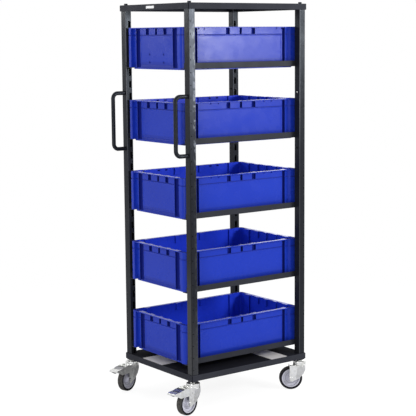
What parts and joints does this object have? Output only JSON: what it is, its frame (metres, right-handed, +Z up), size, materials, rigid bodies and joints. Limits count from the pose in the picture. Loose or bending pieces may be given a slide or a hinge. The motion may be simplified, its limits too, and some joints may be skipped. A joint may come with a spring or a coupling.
{
  "type": "mobile bin cart",
  "caption": "Tall slotted-post steel rack on swivel casters, with two push handles and stacking bins that slide on rails between its posts.",
  "frame": {"origin": "bottom centre of the whole object's bounding box at rest, on the floor", "axes": "+Z up; X along the cart and its bins, with the push handles at -X; Y across the cart, with the picture's right-hand face at -Y"},
  "size_m": [0.7331, 0.5323, 1.6601],
  "materials": {
    "frame_paint": "satin powder coat, anthracite",
    "bin_plastic": "satin moulded polypropylene, blue",
    "zinc": "bright zinc plate",
    "wheel_nylon": "moulded grey",
    "tyre_rubber": "dark grey rubber",
    "label_pale": "pale grey, blank",
    "label_white": "white, blank"
  },
  "bodies": {
    "rack": {"top_shelf": "frame_paint", "bottom_shelf": "frame_paint", "post_rear_left": "frame_paint", "post_rear_right": "frame_paint", "post_front_left": "frame_paint", "post_front_right": "frame_paint", "rail_1_left": "frame_paint", "rail_1_right": "frame_paint", "rail_2_left": "frame_paint", "rail_2_right": "frame_paint", "rail_3_left": "frame_paint", "rail_3_right": "frame_paint", "rail_4_left": "frame_paint", "rail_4_right": "frame_paint", "rail_5_left": "frame_paint", "rail_5_right": "frame_paint", "handle_left": "frame_paint", "handle_right": "frame_paint", "handle_bolt_left_upper": "zinc", "handle_bolt_left_lower": "zinc", "handle_bolt_right_upper": "zinc", "handle_bolt_right_lower": "zinc", "top_bolt_rear_left": "frame_paint", "top_bolt_rear_right": "frame_paint", "top_bolt_front_left": "frame_paint", "top_bolt_front_right": "frame_paint", "caster_mount_rear_left": "zinc", "caster_mount_rear_right": "zinc", "caster_mount_front_left": "zinc", "caster_mount_front_right": "zinc", "name_plate": "label_white", "shelf_label_rear": "label_pale", "shelf_label_right": "label_pale"},
    "bin_1": {"bin_1": "bin_plastic"},
    "bin_2": {"bin_2": "bin_plastic"},
    "bin_3": {"bin_3": "bin_plastic"},
    "bin_4": {"bin_4": "bin_plastic"},
    "bin_5": {"bin_5": "bin_plastic"},
    "swivel_rear_left": {"caster_fork_rear_left": "zinc", "caster_axle_rear_left": "zinc"},
    "wheel_rear_left": {"wheel_core_rear_left": "wheel_nylon", "tyre_rear_left": "tyre_rubber"},
    "pedal_rear_left": {"brake_pedal_rear_left": "zinc"},
    "swivel_rear_right": {"caster_fork_rear_right": "zinc", "caster_axle_rear_right": "zinc"},
    "wheel_rear_right": {"wheel_core_rear_right": "wheel_nylon", "tyre_rear_right": "tyre_rubber"},
    "pedal_rear_right": {"brake_pedal_rear_right": "zinc"},
    "swivel_front_left": {"caster_fork_front_left": "zinc", "caster_axle_front_left": "zinc"},
    "wheel_front_left": {"wheel_core_front_left": "wheel_nylon", "tyre_front_left": "tyre_rubber"},
    "swivel_front_right": {"caster_fork_front_right": "zinc", "caster_axle_front_right": "zinc"},
    "wheel_front_right": {"wheel_core_front_right": "wheel_nylon", "tyre_front_right": "tyre_rubber"}
  },
  "joints": [
    {"name": "bin_1_slide", "type": "slide", "parent": "rack", "child": "bin_1", "axis": [-1, 0, 0], "range_m": [-0.28, 0.28]},
    {"name": "bin_2_slide", "type": "slide", "parent": "rack", "child": "bin_2", "axis": [-1, 0, 0], "range_m": [-0.28, 0.28]},
    {"name": "bin_3_slide", "type": "slide", "parent": "rack", "child": "bin_3", "axis": [-1, 0, 0], "range_m": [-0.28, 0.28]},
    {"name": "bin_4_slide", "type": "slide", "parent": "rack", "child": "bin_4", "axis": [-1, 0, 0], "range_m": [-0.28, 0.28]},
    {"name": "bin_5_slide", "type": "slide", "parent": "rack", "child": "bin_5", "axis": [-1, 0, 0], "range_m": [-0.28, 0.28]},
    {"name": "rear_left_swivel", "type": "hinge", "parent": "rack", "child": "swivel_rear_left", "pos_m": [-0.23777, 0.2333, 0.1], "axis": [0, 0, 1], "continuous": true},
    {"name": "rear_left_wheel_spin", "type": "hinge", "parent": "swivel_rear_left", "child": "wheel_rear_left", "pos_m": [-0.2737, 0.22093, 0.05], "axis": [-0.3256, 0.9455, 0], "continuous": true},
    {"name": "rear_left_brake", "type": "hinge", "parent": "swivel_rear_left", "child": "pedal_rear_left", "pos_m": [-0.26235, 0.22484, 0.092], "axis": [-0.3256, 0.9455, 0], "range_deg": [-8, 0]},
    {"name": "rear_right_swivel", "type": "hinge", "parent": "rack", "child": "swivel_rear_right", "pos_m": [-0.23777, -0.2202, 0.1], "axis": [0, 0, 1], "continuous": true},
    {"name": "rear_right_wheel_spin", "type": "hinge", "parent": "swivel_rear_right", "child": "wheel_rear_right", "pos_m": [-0.275, -0.22778, 0.05], "axis": [-0.1994, 0.9799, 0], "continuous": true},
    {"name": "rear_right_brake", "type": "hinge", "parent": "swivel_rear_right", "child": "pedal_rear_right", "pos_m": [-0.26325, -0.22538, 0.092], "axis": [-0.1994, 0.9799, 0], "range_deg": [-8, 0]},
    {"name": "front_left_swivel", "type": "hinge", "parent": "rack", "child": "swivel_front_left", "pos_m": [0.33223, 0.2333, 0.1], "axis": [0, 0, 1], "continuous": true},
    {"name": "front_left_wheel_spin", "type": "hinge", "parent": "swivel_front_left", "child": "wheel_front_left", "pos_m": [0.29481, 0.2399, 0.05], "axis": [0.1736, 0.9848, 0], "continuous": true},
    {"name": "front_right_swivel", "type": "hinge", "parent": "rack", "child": "swivel_front_right", "pos_m": [0.33223, -0.2202, 0.1], "axis": [0, 0, 1], "continuous": true},
    {"name": "front_right_wheel_spin", "type": "hinge", "parent": "swivel_front_right", "child": "wheel_front_right", "pos_m": [0.30036, -0.1995, 0.05], "axis": [0.5446, 0.8387, 0], "continuous": true}
  ]
}
